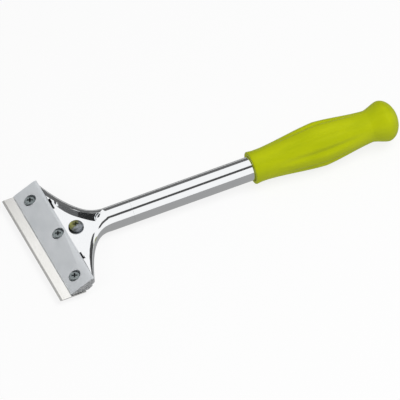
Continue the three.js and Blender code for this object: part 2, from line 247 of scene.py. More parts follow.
def shade(red, green, blue):          # a colour as it looks on screen
    return [linearLevel(red), linearLevel(green), linearLevel(blue), 1]


def newFinish(name, **sockets):
    finish = bpy.data.materials.new(name)
    finish.use_nodes = True
    shader = finish.node_tree.nodes["Principled BSDF"]
    for socket, value in sockets.items():
        shader.inputs[socket].default_value = value
    return finish.node_tree, shader, finish


def addNode(tree, kind, inputs, **settings):
    made = tree.nodes.new("ShaderNode" + kind)
    for setting, value in settings.items():
        setattr(made, setting, value)
    for socket, value in inputs.items():
        if isinstance(value, bpy.types.NodeSocket):
            tree.links.new(value, made.inputs[socket])
        else:
            made.inputs[socket].default_value = value
    return made


def toolPlace(tree, grain):           # Object coordinates along the tool, counted in grains
    coordinates = addNode(tree, "TexCoord", {}).outputs["Object"]
    sockets = {
        "Vector": coordinates,
        "Location": toolOrigin,
        "Rotation": toolTurn.to_euler(),
        "Scale": [size * millimetre for size in grain],
    }
    return addNode(tree, "Mapping", sockets, vector_type="TEXTURE").outputs["Vector"]


def noise(tree, grain, detail):
    sockets = {"Vector": toolPlace(tree, grain), "Scale": 1.0, "Detail": detail}
    return addNode(tree, "TexNoise", sockets).outputs["Fac"]


def spread(tree, value, fromLow, fromHigh, toLow, toHigh):
    sockets = {
        "Value": value,
        "From Min": fromLow,
        "From Max": fromHigh,
        "To Min": toLow,
        "To Max": toHigh,
    }
    return addNode(tree, "MapRange", sockets).outputs["Result"]


def tones(tree, value, *stops):       # a colour ramp from (place, colour) stops
    ramp = addNode(tree, "ValToRGB", {"Fac": value})
    elements = ramp.color_ramp.elements
    while len(elements) < len(stops):
        elements.new(0.5)
    for element, (place, colour) in zip(elements, stops):
        element.position = place
        element.color = colour
    return ramp.outputs["Color"]


def bump(tree, shader, *layers):      # (height, depth in mm) layers, one over the other
    normal = None
    for height, depth in layers:
        sockets = {"Height": height, "Strength": 1.0, "Distance": depth * millimetre}
        if normal:
            sockets["Normal"] = normal
        normal = addNode(tree, "Bump", sockets).outputs["Normal"]
    tree.links.new(normal, shader.inputs["Normal"])


# Each look: its grains in mm with their detail, then which grain gives the colour, from one shade to
# the other, the roughness, and the bumps with their depth in mm. A span is the part of the grain used.
wholeSpan = (0.3, 0.7)
finishLooks = {
    "headChrome": {
        "shader": {"Metallic": 1.0},
        "grains": {"polish": ((0.5, 0.5, 0.5), 4), "ripple": ((3.5, 3.5, 3.5), 1)},
        "colour": ("polish", wholeSpan, (240, 242, 244), (248, 249, 250)),
        "rough": ("polish", (0.3, 0.75), 0.04, 0.08),
        "bumps": [("ripple", 0.012)],
    },
    "tubeChrome": {
        "shader": {"Metallic": 1.0},
        "grains": {"polish": ((9, 0.25, 0.25), 4), "ripple": ((22, 3, 3), 1)},
        "colour": ("polish", wholeSpan, (240, 242, 244), (248, 249, 250)),
        "rough": ("polish", (0.3, 0.75), 0.04, 0.08),
        "bumps": [("ripple", 0.006)],
    },
    "satinBar": {
        "shader": {"Metallic": 1.0},
        "grains": {"blasted": ((0.35, 0.35, 0.35), 3), "cloud": ((9, 14, 9), 2)},
        "colour": ("cloud", wholeSpan, (216, 220, 223), (226, 229, 232)),
        "rough": ("blasted", wholeSpan, 0.42, 0.56),
        "bumps": [("blasted", 0.012)],
    },
    "sawnBarEnd": {
        "shader": {"Metallic": 1.0},
        "grains": {"streaks": ((1.1, 1.1, 0.7), 3)},
        "colour": ("streaks", (0.34, 0.62), (170, 174, 176), (250, 251, 252)),
        "rough": ("streaks", wholeSpan, 0.3, 0.5),
        "bumps": [("streaks", 0.12)],
    },
    "bladeSteel": {
        "shader": {"Metallic": 1.0},
        "grains": {"brushed": ((0.12, 14, 0.3), 3), "cloud": ((5, 18, 5), 2)},
        "colour": ("cloud", wholeSpan, (247, 246, 242), (254, 253, 250)),
        "rough": ("brushed", wholeSpan, 0.14, 0.24),
        "bumps": [("brushed", 0.0015)],
    },
    "groundEdge": {
        "shader": {"Metallic": 1.0},
        "grains": {"ground": ((4, 0.12, 0.3), 3)},
        "colour": ("ground", wholeSpan, (168, 168, 166), (200, 199, 196)),
        "rough": ("ground", wholeSpan, 0.2, 0.34),
        "bumps": [("ground", 0.004)],
    },
    "zincScrew": {
        "shader": {"Metallic": 1.0},
        "grains": {"plated": ((0.7, 0.7, 0.7), 3)},
        "colour": ("plated", wholeSpan, (112, 120, 122), (160, 168, 169)),
        "rough": ("plated", wholeSpan, 0.2, 0.34),
        "bumps": [("plated", 0.02)],
    },
    "zincCrossShade": {                   # painted shade: zinc darkened inside the screws' crosses
        "shader": {"Metallic": 1.0},
        "grains": {"plated": ((0.7, 0.7, 0.7), 3)},
        "colour": ("plated", wholeSpan, (38, 42, 44), (64, 69, 71)),
        "rough": ("plated", wholeSpan, 0.2, 0.34),
        "bumps": [("plated", 0.02)],
    },
    "recessPaintedShade": {                   # painted shade in the two recesses behind the bar, a dark rough finish
        "shader": {"Metallic": 0.6},
        "grains": {"cast": ((0.6, 0.6, 0.6), 3)},
        "colour": ("cast", wholeSpan, (34, 35, 40), (58, 60, 66)),
        "rough": ("cast", wholeSpan, 0.5, 0.7),
        "bumps": [],
    },
    "tangSteel": {
        "shader": {"Metallic": 1.0},
        "grains": {"drawn": ((12, 0.3, 0.3), 3)},
        "colour": ("drawn", wholeSpan, (120, 124, 128), (160, 164, 168)),
        "rough": ("drawn", wholeSpan, 0.35, 0.5),
        "bumps": [],
    },
    "plugBlack": {
        "shader": {},
        "grains": {"moulded": ((0.5, 0.5, 0.5), 3)},
        "colour": ("moulded", wholeSpan, (34, 35, 37), (52, 53, 55)),
        "rough": ("moulded", wholeSpan, 0.5, 0.65),
        "bumps": [],
    },
    "limeGrip": {
        "shader": {"Specular IOR Level": 0.18},
        "grains": {
            "cloud": ((26, 9, 9), 3),
            "pebble": ((0.45, 0.45, 0.45), 2),
            "flow": ((30, 1.6, 1.6), 2),
        },
        "colour": ("cloud", wholeSpan, (168, 180, 0), (182, 192, 6)),
        "rough": ("flow", wholeSpan, 0.38, 0.5),
        "bumps": [("flow", 0.06), ("pebble", 0.02)],
    },
}


def makeFinish(name):
    look = finishLooks[name]
    tree, shader, finish = newFinish(name, **look["shader"])
    grains = {grain: noise(tree, size, detail) for grain, (size, detail) in look["grains"].items()}
    grain, (low, high), dark, light = look["colour"]
    colour = tones(tree, grains[grain], (low, shade(*dark)), (high, shade(*light)))
    tree.links.new(colour, shader.inputs["Base Color"])
    grain, (low, high), smoothest, roughest = look["rough"]
    roughness = spread(tree, grains[grain], low, high, smoothest, roughest)
    tree.links.new(roughness, shader.inputs["Roughness"])
    if look["bumps"]:
        bump(tree, shader, *((grains[grain], depth) for grain, depth in look["bumps"]))
    return finish


# The lock screw's yellow zinc film turns from blue-grey to yellow over the head, laid yellowest towards
# the far front side as a painted highlight, and a painted shade ring darkens its rim
lockFilmAndShade = {
    "slope": (-0.05, 0.09, 0),        # film gained per mm along the tool's axes, towards the painted highlight
    "cloud": ((2.2, 2.2, 2.2), 2),
    "stops": [
        (0.2, (158, 163, 169)),
        (0.42, (122, 126, 120)),
        (0.62, (126, 128, 88)),
        (0.95, (176, 176, 92)),
    ],
    # painted shade: a dark ring at the head's rim, placed and sized by the next three entries
    "paintedRimShade": (26, 27, 30),
    "paintedRimMiddle": (0, -0.6, 0),        # off the axis, so that the painted shade ring is broader on the far side
    "rimRadius": (4.3, 4.7),
    "plated": ((0.6, 0.6, 0.6), 3),
    "rough": (0.34, 0.48),
    "bump": 0.02,
}


def vectorMath(tree, operation, output, first, second):
    return addNode(tree, "VectorMath", {0: first, 1: second}, operation=operation).outputs[output]


def yellowZincFinish():
    tree, shader, finish = newFinish("yellowZinc", Metallic=1.0)
    fromAxis = vectorMath(tree, "SUBTRACT", "Vector", toolPlace(tree, (1, 1, 1)), (lockX, 0, 0))
    flat = vectorMath(tree, "MULTIPLY", "Vector", fromAxis, (1, 1, 0))
    radius = vectorMath(tree, "DISTANCE", "Value", flat, lockFilmAndShade["paintedRimMiddle"])
    across = vectorMath(tree, "DOT_PRODUCT", "Value", flat, lockFilmAndShade["slope"])
    cloud = noise(tree, *lockFilmAndShade["cloud"])
    film = addNode(tree, "Math", {0: across, 1: cloud}, operation="ADD").outputs["Value"]
    colour = tones(tree, film, *((place, shade(*stop)) for place, stop in lockFilmAndShade["stops"]))
    # painted shade: the rim darkens in a ring round the head
    rim = spread(tree, radius, *lockFilmAndShade["rimRadius"], 0, 1)
    sockets = {"Factor": rim, "A": colour, "B": shade(*lockFilmAndShade["paintedRimShade"])}
    mixed = addNode(tree, "Mix", sockets, data_type="RGBA")
    tree.links.new(mixed.outputs["Result"], shader.inputs["Base Color"])
    plated = noise(tree, *lockFilmAndShade["plated"])
    roughness = spread(tree, plated, *wholeSpan, *lockFilmAndShade["rough"])
    tree.links.new(roughness, shader.inputs["Roughness"])
    bump(tree, shader, (plated, lockFilmAndShade["bump"]))
    return finish


finishes = {name: makeFinish(name) for name in finishLooks}
finishes["yellowZinc"] = yellowZincFinish()
print("finishes ready", len(finishes))

# Clamp screws: their places and sizes, which the bar and the casting are bored for
screwNodes = {"near": "clamp_screw_near", "centre": "clamp_screw_centre", "far": "clamp_screw_far"}
screwBoxes = {side: toolBox(nodeName) for side, nodeName in screwNodes.items()}
screwPlaces = {side: (low + high) / 2 for side, (low, high) in screwBoxes.items()}
clampScrew = {
    "shank": 4,
    "head": 7.4,
    "headHeight": 2.4,
    "crown": 0.8,                     # height of the rounded rim
    "crossSpan": 4.8,
    "crossWidth": 1.1,
    "crossDepth": 1.3,
    "crossTurn": 23,                  # as it was last tightened, in degrees
    "edge": 0.2,
    "seatRoom": 0.3,                  # under and round the head
    "shankRoom": 0.25,
}


def screwHoles(side, wellTop, holeBottom):
    place = screwPlaces[side]
    wellRadius = clampScrew["head"] / 2 + clampScrew["seatRoom"]
    holeRadius = clampScrew["shank"] / 2 + clampScrew["shankRoom"]
    seat = screwBoxes[side][1].z - clampScrew["headHeight"] - clampScrew["seatRoom"]
    well = pin(place.x, place.y, wellRadius, seat, wellTop, turnedSides)
    hole = pin(place.x, place.y, holeRadius, holeBottom, wellTop, boreSides)
    return well, hole


# Clamp bar's sizes, which the casting makes room for
clampBar = {
    "noseHeight": 1.1,
    "reliefDepth": 3,
    "reliefHeight": 2,
    "lip": 1.75,                      # over the casting's wall
    "edge": 0.25,                     # broken edges
    "edgeSteps": 3,
}
barRearX = barHigh.x - clampBar["lip"]

# Head casting: lofted ribs, web, neck, shelf and spine, melted together by a fine remesh, then machined
headCasting = {
    "flareLength": 30,
    "flarePower": 2.2,
    "neckLength": 15,                 # round neck behind the flare
    "neckForward": 1,                 # and on between the ribs
    "neckNose": 9,
    "neckNoseSteps": 16,
    "neckSpare": 6,                   # cast past the seam, then faced off
    "ribHalfWidth": (7.4, 5.9, 4.7),  # outer edge to crest, at the neck, the shoulder and the ends
    "ribHeight": (15, 10.8, 6),       # at the same places
    "ribShoulder": 0.45,              # place along the flare
    "ribEndRise": 1.7,
    "ribRoot": 4,                     # sunk in the neck
    "ribSides": 32,
    "ribSteps": 32,
    "armTop": 4.7,
    "webTop": 3.2,
    "webThickness": 6,
    "pocketWidth": 54,
    "shelfWidth": 84,
    "shelfBevel": 3.8,
    "shelfWall": 5,
    "spineWidth": 11,
    "spineFlat": 12,
    "spineRise": 16,
    "spineSink": 0.4,
    "voxel": 0.4,
    "meltShare": 0.5,
    "meltRounds": 12,
    "seamGap": 0.03,                  # hairline between the neck and the tube
    "seatRoom": 0.3,                  # between the casting and what seats on it
    "tongueWidth": 8,
    "tongueTop": 0.4,
    "tongueThickness": 4.8,
    "tongueAhead": 5,                 # tongue's tip ahead of the lock screw's axis
    "lockHole": 5.5,
    "recessDepth": 1.5,               # the two recesses behind the bar
    "recessInner": 22,
    "recessOuter": 30,
    "recessFloor": 1.8,
    "recessMargin": 0.01,             # when their faces are picked
}

seamX = tubeLow.x - headCasting["seamGap"]
flareStartX = headHigh.x - headCasting["neckLength"]
wallX = barRearX + headCasting["seatRoom"]
wallRearX = wallX + headCasting["shelfWall"]
shelfTop = bladeLow.z - headCasting["seatRoom"]
shelfFrontX = headLow.x
soleFrontX = shelfFrontX + headCasting["shelfBevel"]
soleNormal = toolTurn.inverted() @ Vector((0, 0, 1))
soleOrigin = toFrame.inverted() @ Vector((0, 0, 0))


def soleZ(x):                         # the sole lies flat on the floor
    return soleOrigin.z - (x - soleOrigin.x) * soleNormal.x / soleNormal.z


def flareAt(place):                   # outer edge of the flare, 0 at the neck and 1 at the head's end
    along = max(place, 0)
    reach = headHigh.y - shaftRadius
    power = headCasting["flarePower"]
    length = headCasting["flareLength"]
    edge = Vector((flareStartX - length * place, shaftRadius + reach * along ** power, 0))
    outward = Vector((reach * power * along ** (power - 1), length, 0)).normalized()
    return edge, outward


def threeWays(sizes, place):          # a size along the flare, from its values at neck, shoulder and end
    neck, shoulder, end = sizes
    early = lerp(neck, shoulder, smoothStep(place, 0, headCasting["ribShoulder"]))
    return lerp(early, end, smoothStep(place, headCasting["ribShoulder"], 1))


def crestLine(place):                 # inside the flare's edge by the rib's half width
    edge, outward = flareAt(place)
    return edge - outward * threeWays(headCasting["ribHalfWidth"], place)


firstPlace = -headCasting["ribRoot"] / headCasting["flareLength"]
ribSteps = headCasting["ribSteps"]
flarePlaces = [lerp(firstPlace, 1, step / ribSteps) for step in range(ribSteps + 1)]


def bothSides(farSide):               # an outline of the head from the points of its far side
    return [(x, y) for x, y in farSide] + [(x, -y) for x, y in reversed(farSide)]


def makeRib(side):
    rings = []
    mirror = Vector((1, side, 1))
    for place in flarePlaces:
        centre = crestLine(place) * mirror
        centre.z = headCasting["ribEndRise"] * max(place, 0)
        halfWidth = threeWays(headCasting["ribHalfWidth"], place)
        halfHeight = threeWays(headCasting["ribHeight"], place) / 2
        outward = flareAt(place)[1] * mirror
        rings.append(makeRing(centre, outward, halfWidth, halfHeight, headCasting["ribSides"]))
    return loft(rings)


def makeWeb():                        # the flat body between the ribs
    crests = [crestLine(place).xy for place in flarePlaces]
    webBottom = headCasting["webTop"] - headCasting["webThickness"]
    return prismUpright(bothSides(crests), webBottom, headCasting["armTop"])


def makePocket():                     # the shallow pocket in the web, open towards the clamp bar
    pocketHalf = headCasting["pocketWidth"] / 2
    crests = [crestLine(place).xy for place in flarePlaces]
    side = [point for point in crests if point.y < pocketHalf]
    side.append(Vector((side[-1].x, pocketHalf)))
    side.append(Vector((wallX - headCasting["webThickness"], pocketHalf)))
    webTop = headCasting["webTop"]
    return prismUpright(bothSides(side), webTop, webTop + headCasting["webThickness"])


def makeNeck():
    noseRearX = flareStartX - headCasting["neckForward"]
    noseSteps = headCasting["neckNoseSteps"]
    profile = []
    for step in range(noseSteps + 1):
        turn = step / noseSteps * math.pi / 2
        x = noseRearX - headCasting["neckNose"] * math.cos(turn)
        profile.append((x, shaftRadius * math.sin(turn)))
    rearX = seamX + headCasting["neckSpare"]
    return turnAlong([*profile, (rearX, shaftRadius), (rearX, 0)], turnedSides)


def makeShelf():                      # under the blade, with the wall behind the bar, inside the ribs
    webTop = headCasting["webTop"]
    shelf = prismAcross([
        (shelfFrontX, shelfTop),
        (soleFrontX, soleZ(soleFrontX)),
        (wallRearX, soleZ(wallRearX)),
        (wallRearX, webTop),
        (wallX - headCasting["shelfWall"], webTop),
        (wallX - headCasting["shelfWall"], shelfTop),
    ], headCasting["shelfWidth"])
    crests = [crestLine(place).xy for place in flarePlaces]
    outline = bothSides([*crests, Vector((0, headHigh.y))])
    plan = prismUpright(outline, 2 * soleZ(seamX), headCasting["armTop"])
    combine(shelf, "INTERSECT", plan)
    return shelf


def makeSpine():                      # under the tang's slot: flat with the sole, then out into the neck
    flatEndX = wallX + headCasting["spineFlat"]
    rearX = flatEndX + headCasting["spineRise"]
    halfWidth = headCasting["spineWidth"] / 2
    rearZ = headCasting["spineSink"] - math.sqrt(shaftRadius ** 2 - halfWidth ** 2)
    frontX = wallX - headCasting["shelfWall"]
    return prismAcross([
        (frontX, soleZ(frontX)),
        (flatEndX, soleZ(flatEndX)),
        (rearX, rearZ),
        (rearX, 0),
        (frontX, 0),
    ], headCasting["spineWidth"])


def machineCasting(casting):          # room for bar and blade, holes, recesses and the tang's slot
    room = headCasting["seatRoom"]
    above = barHigh.z + headCasting["webThickness"]
    side = headHigh.y + headCasting["webThickness"]
    combine(casting, "DIFFERENCE", block((-side, -side, shelfTop), (wallX, side, above)))
    stepEnd = barHigh.x + room
    combine(casting, "DIFFERENCE", block((0, -side, headCasting["webTop"]), (stepEnd, side, above)))
    for screw in screwPlaces:
        combine(casting, "DIFFERENCE", *screwHoles(screw, above, 2 * soleZ(seamX)))
    inner = headCasting["recessInner"]
    outer = headCasting["recessOuter"]
    recessRear = stepEnd + headCasting["recessDepth"]
    for low, high in ((inner, outer), (-outer, -inner)):
        recessLow = (stepEnd - room, low, headCasting["recessFloor"])
        combine(casting, "DIFFERENCE", block(recessLow, (recessRear, high, above)))
    slotSide = headCasting["tongueWidth"] / 2 + room
    slotTop = headCasting["tongueTop"] + room
    slotBottom = headCasting["tongueTop"] - headCasting["tongueThickness"] - room
    slotFront = lockX - headCasting["tongueAhead"] - room
    slot = block((slotFront, -slotSide, slotBottom), (seamX + shaftRadius, slotSide, slotTop))
    lockHole = pin(lockX, 0, headCasting["lockHole"] / 2, slotBottom, above, turnedSides)
    combine(casting, "DIFFERENCE", slot, lockHole)
    spareEnd = seamX + 2 * headCasting["neckSpare"]
    combine(casting, "DIFFERENCE", block((seamX, -side, -side), (spareEnd, side, side)))


casting = joinPieces(makeWeb(), makeRib(1), makeRib(-1), makeNeck(), makeShelf(), makeSpine())
applyModifier(casting, "REMESH", mode="VOXEL", voxel_size=headCasting["voxel"])
applyModifier(casting, "SMOOTH", factor=headCasting["meltShare"], iterations=headCasting["meltRounds"])
pocket = makePocket()
combine(pocket, "DIFFERENCE", makeNeck())
combine(casting, "DIFFERENCE", pocket)
machineCasting(casting)
smoothShade(casting, creaseAngle)


def inRecess(face):
    x, y, z = face.center
    margin = headCasting["recessMargin"]
    rearX = barHigh.x + headCasting["seatRoom"] + headCasting["recessDepth"]
    along = barHigh.x < x < rearX + margin
    across = headCasting["recessInner"] - margin < abs(y) < headCasting["recessOuter"] + margin
    return along and across and z > headCasting["recessFloor"] - margin and face.normal.z > -0.5


# the recesses' faces take the painted shade
recessFaces = [int(inRecess(face)) for face in casting.data.polygons]
finishPiece(casting, "headCasting", "scraper_body", "chrome_head", "head_casting",
            "headChrome", "recessPaintedShade")
casting.data.polygons.foreach_set("material_index", recessFaces)


# Clamp bar: a satin wedge with a rear lip, three counterbored holes and sawn ends
def makeBar():
    noseTop = barLow.z + clampBar["noseHeight"]
    lipBottom = headCasting["webTop"] + headCasting["seatRoom"]
    bar = prismAcross([
        (barLow.x, barLow.z),
        (barRearX - clampBar["reliefDepth"], barLow.z),
        (barRearX, barLow.z + clampBar["reliefHeight"]),
        (barRearX, lipBottom),
        (barHigh.x, lipBottom),
        (barHigh.x, barHigh.z),
        (barRearX, barHigh.z),
        (barLow.x, noseTop),
    ], barHigh.y - barLow.y)
    for screw in screwPlaces:
        combine(bar, "DIFFERENCE", *screwHoles(screw, barHigh.z + shaftRadius, barLow.z - shaftRadius))
    applyModifier(bar, "BEVEL", width=clampBar["edge"], segments=clampBar["edgeSteps"],
                  limit_method="ANGLE", angle_limit=math.radians(creaseAngle))
    flatFaces(bar, creaseAngle)
    return bar


def onSawnEnd(face):
    return abs(face.normal.y) > 0.9 and abs(face.center.y) > barHigh.y - clampBar["edge"]


bar = makeBar()
barEnds = [int(onSawnEnd(face)) for face in bar.data.polygons]
finishPiece(bar, "clampBar", "clamp", "satin_bar", "clamp_bar", "satinBar", "sawnBarEnd")
bar.data.polygons.foreach_set("material_index", barEnds)

# Blade: thin ground steel, slotted from behind for the three screws
blade = {
    "bevel": 1.4,                     # length of the ground edge
    "edgeLand": 0.08,
    "slotRoom": 0.6,                  # round the screws' shanks
}


def makeBlade():
    strip = prismAcross([
        (bladeLow.x, bladeLow.z),
        (bladeHigh.x, bladeLow.z),
        (bladeHigh.x, bladeHigh.z),
        (bladeLow.x + blade["bevel"], bladeHigh.z),
        (bladeLow.x, bladeLow.z + blade["edgeLand"]),
    ], bladeHigh.y - bladeLow.y)
    slotHalf = clampScrew["shank"] / 2 + blade["slotRoom"]
    below = bladeLow.z - slotHalf
    above = bladeHigh.z + slotHalf
    for place in screwPlaces.values():
        if place.x < bladeHigh.x:
            slotLow = (place.x, place.y - slotHalf, below)
            slot = block(slotLow, (2 * bladeHigh.x, place.y + slotHalf, above))
            slotEnd = pin(place.x, place.y, slotHalf, below, above, boreSides)
            combine(strip, "DIFFERENCE", slot, slotEnd)
    return strip


def onGroundEdge(face):
    ahead = face.center.x < bladeLow.x + blade["bevel"]
    return ahead and face.normal.z > 0.3 and face.normal.x < -0.1


strip = makeBlade()
groundFaces = [int(onGroundEdge(face)) for face in strip.data.polygons]
finishPiece(strip, "scraperBlade", "blade", "blade_steel", "blade", "bladeSteel", "groundEdge")
strip.data.polygons.foreach_set("material_index", groundFaces)


# Screws: turned about z with the head's seat at z 0, then cross-recessed
screwMaking = {
    "crownSteps": 10,
    "floorShare": (0.55, 0.8, 1),     # of the cross's span and width, left at its floor
    "bevelSteps": 2,
    "bevelAngle": 50,
    "crossMargin": 0.1,               # below the head's top, when the cross's faces are picked
}


def makeScrew(size, length):
    headRadius = size["head"] / 2
    shankRadius = size["shank"] / 2
    edge = size["edge"]
    crown = size["crown"]
    top = size["headHeight"]
    profile = [(0, -length), (shankRadius - edge, -length), (shankRadius, edge - length)]
    profile += [(shankRadius, 0), (headRadius - edge, 0), (headRadius, edge)]
    for step in range(screwMaking["crownSteps"] + 1):
        turn = step / screwMaking["crownSteps"] * math.pi / 2
        radius = headRadius - crown * (1 - math.cos(turn))
        profile.append((radius, top - crown * (1 - math.sin(turn))))
    screw = turnUpright([*profile, (0, top)], turnedSides)
    for turn in (size["crossTurn"], size["crossTurn"] + 90):
        combine(screw, "DIFFERENCE", makeCrossArm(size, turn))
    applyModifier(screw, "BEVEL", width=edge / 2, segments=screwMaking["bevelSteps"],
                  limit_method="ANGLE", angle_limit=math.radians(screwMaking["bevelAngle"]))
    flatFaces(screw, creaseAngle)
    return screw


def makeCrossArm(size, turn):         # one arm of the cross, narrowed towards its floor
    span = size["crossSpan"] / 2
    width = size["crossWidth"] / 2
    top = size["headHeight"]
    floor = top - size["crossDepth"]
    arm = block((-span, -width, floor), (span, width, top + size["crown"]))
    bpy.ops.object.mode_set(mode="EDIT")
    bpy.ops.mesh.select_all(action="DESELECT")
    bpy.ops.object.mode_set(mode="OBJECT")
    for vertex in arm.data.vertices:
        vertex.select = vertex.co.z < top
    bpy.ops.object.mode_set(mode="EDIT")
    bpy.ops.transform.resize(value=screwMaking["floorShare"], center_override=(0, 0, floor))
    bpy.ops.mesh.select_all(action="SELECT")
    bpy.ops.transform.rotate(value=math.radians(turn), orient_axis="Z", center_override=(0, 0, 0))
    bpy.ops.object.mode_set(mode="OBJECT")
    return arm


def crossFaces(screw, size):          # 1 for the faces inside the cross recess, which take the painted shade
    top = size["headHeight"] - screwMaking["crossMargin"]
    reach = size["crossSpan"] / 2
    faces = screw.data.polygons
    return [int(face.center.xy.length < reach and 0 < face.center.z < top) for face in faces]


screwBodies = {"near": "screw_near", "centre": "screw_centre", "far": "screw_far"}
seatZ = {side: high.z - clampScrew["headHeight"] for side, (low, high) in screwBoxes.items()}
shortest = min(seatZ[side] - screwBoxes[side][0].z for side in screwNodes)
firstScrew = makeScrew(clampScrew, shortest)
screwCross = crossFaces(firstScrew, clampScrew)
for side, nodeName in screwNodes.items():
    screw = bpy.data.objects.new("clampScrew", firstScrew.data.copy())
    bpy.context.scene.collection.objects.link(screw)
    extra = seatZ[side] - screwBoxes[side][0].z - shortest
    for vertex in screw.data.vertices:
        if vertex.co.z < -shortest / 2:
            vertex.co.z -= extra
    place = screwPlaces[side]
    screw.data.transform(Matrix.Translation((place.x, place.y, seatZ[side])))
    finishPiece(screw, "clampScrew." + side, screwBodies[side], "zinc_screw", nodeName,
                "zincScrew", "zincCrossShade")
    # the cross recess takes the painted shade, a darker zinc
    screw.data.polygons.foreach_set("material_index", screwCross)
bpy.data.meshes.remove(firstScrew.data)

# Lock screw: a domed head, made as the clamp screws are
lockScrew = {
    "shank": 5,
    "head": 10,
    "headHeight": 2.8,
    "crown": 2.6,
    "crossSpan": 5.2,
    "crossWidth": 1.1,
    "crossDepth": 1.6,
    "crossTurn": 23,
    "edge": 0.25,
}
lockSeat = lockHigh.z - lockScrew["headHeight"]
lock = makeScrew(lockScrew, lockSeat - lockLow.z)
lock.data.transform(Matrix.Translation((lockX, 0, lockSeat)))
finishPiece(lock, "lockScrew", "scraper_body", "yellow_zinc", "shaft_lock_screw", "yellowZinc")

# Shaft: a chromed tube with its edges rolled
shaftTube = {
    "wall": 1.5,
    "edge": 0.08,
    "sides": 128,
    "shadeAngle": 50,
}
edgeShare = 0.3                       # where a rolled edge has its middle point


def makeTube():
    bore = shaftRadius - shaftTube["wall"]
    edge = shaftTube["edge"]
    return turnAlong([
        (tubeLow.x, bore),
        (tubeLow.x, shaftRadius - edge),
        (tubeLow.x + edge * edgeShare, shaftRadius - edge * edgeShare),
        (tubeLow.x + edge, shaftRadius),
        (tubeHigh.x - edge, shaftRadius),
        (tubeHigh.x, shaftRadius - edge),
        (tubeHigh.x, bore),
        (tubeLow.x, bore),
    ], shaftTube["sides"])


tube = makeTube()
flatFaces(tube, shaftTube["shadeAngle"])
finishPiece(tube, "shaftTube", "scraper_body", "chrome_tube", "shaft_tube", "tubeChrome")

# Grip: turned in lime plastic, fluted over its swell, with a knob at the rear
grip = {
    "rimRadius": 11,
    "throatRadius": 10.6,
    "swellRadius": 14.85,
    "waistRadius": 10.7,
    "knobRadius": 13.8,
    "throatLength": 8,
    "frontLength": 40.7,
    "rearLength": 34.5,
    "neckLength": 10.6,
    "domeLength": 9.8,
    "endWall": 15.7,
    "boreRoom": 0.2,
    "rimEdge": 0.7,
    "fluteCount": 8,
    "fluteDepth": 1.25,
    "fluteSharpness": 3,
    "steps": 24,
    "sides": 192,
    "shadeAngle": 50,
}


def gripStretch(fromX, toX, fromRadius, toRadius):
    points = []
    for step in range(1, grip["steps"] + 1):
        share = step / grip["steps"]
        eased = (share + smoothStep(share, 0, 1)) / 2
        points.append((lerp(fromX, toX, share), lerp(fromRadius, toRadius, eased)))
    return points


def makeGrip():
    frontX = gripLow.x
    throatX = frontX + grip["throatLength"]
    swellX = throatX + grip["frontLength"]
    waistX = swellX + grip["rearLength"]
    knobX = waistX + grip["neckLength"]
    bore = shaftRadius + grip["boreRoom"]
    boreEndX = gripHigh.x - grip["endWall"]
    edge = grip["rimEdge"]
    rim = grip["rimRadius"]
    throat = grip["throatRadius"]
    profile = [(boreEndX, 0), (boreEndX, bore), (frontX + edge, bore), (frontX, bore + edge)]
    profile += [(frontX, rim - edge), (frontX + edge * edgeShare, rim - edge * edgeShare)]
    profile += [(frontX + edge, rim), (frontX + grip["throatLength"] / 2, throat), (throatX, throat)]
    profile += gripStretch(throatX, swellX, throat, grip["swellRadius"])
    profile += gripStretch(swellX, waistX, grip["swellRadius"], grip["waistRadius"])
    profile += gripStretch(waistX, knobX, grip["waistRadius"], grip["knobRadius"])
    for step in range(1, grip["steps"]):
        turn = step / grip["steps"] * math.pi / 2
        x = knobX + grip["domeLength"] * math.sin(turn)
        profile.append((x, grip["knobRadius"] * math.cos(turn)))
    handle = turnAlong([*profile, (gripHigh.x, 0)], grip["sides"])
    for vertex in handle.data.vertices:
        x, y, z = vertex.co
        radius = math.hypot(y, z)
        if radius > bore + edge and throatX < x < waistX:
            fade = smoothStep(x, throatX, swellX) * (1 - smoothStep(x, swellX, waistX))
            around = math.atan2(y, -z)            # from below, so that a ridge touches the bench
            wave = (1 - math.cos(grip["fluteCount"] * around)) / 2
            groove = wave ** grip["fluteSharpness"]
            share = 1 - grip["fluteDepth"] * fade * groove / radius
            vertex.co = (x, y * share, z * share)
    return handle


handle = makeGrip()
smoothShade(handle, grip["shadeAngle"])
finishPiece(handle, "limeGrip", "scraper_body", "grip_lime", "grip", "limeGrip")

# Hidden pieces keep their solids
for nodeName, finishName in (("shaft_tang", "tangSteel"), ("tube_end_plug", "plugBlack")):
    node = frame["nodes"][nodeName]
    node.data.materials.clear()
    node.data.materials.append(finishes[finishName])
print("pieces ready")

# Camera at the photograph's angle, given along the tool's axes
cameraView = {
    "azimuth": -18.75,                # from straight across the shaft, towards the blade
    "elevation": 45.6,
    "roll": -6.06,
    "aim": (113.45, -14.16, 3.09),
    "width": 258.9,                   # of the picture at the aim, in mm
    "distance": 6000,
    "sensor": 36,
}


def placeCamera():
    azimuth = math.radians(cameraView["azimuth"])
    elevation = math.radians(cameraView["elevation"])
    roll = math.radians(cameraView["roll"])
    level = math.cos(elevation)
    toward = Vector((math.sin(azimuth) * level, -math.cos(azimuth) * level, math.sin(elevation)))
    right = Vector((math.cos(azimuth), math.sin(azimuth), 0))
    up = toward.cross(right)
    rolledRight = right * math.cos(roll) + up * math.sin(roll)
    rolledUp = up * math.cos(roll) - right * math.sin(roll)
    turn = toolTurn @ Matrix((rolledRight, rolledUp, toward)).transposed()
    place = toFrame @ (Vector(cameraView["aim"]) + toward * cameraView["distance"])
    data = bpy.data.cameras.new("camera")
    data.sensor_width = cameraView["sensor"]
    data.lens = cameraView["sensor"] * cameraView["distance"] / cameraView["width"]
    camera = bpy.data.objects.new("camera", data)
    camera.matrix_world = Matrix.Translation(place) @ turn.to_4x4()
    bpy.context.scene.collection.objects.link(camera)
    bpy.context.scene.camera = camera


placeCamera()


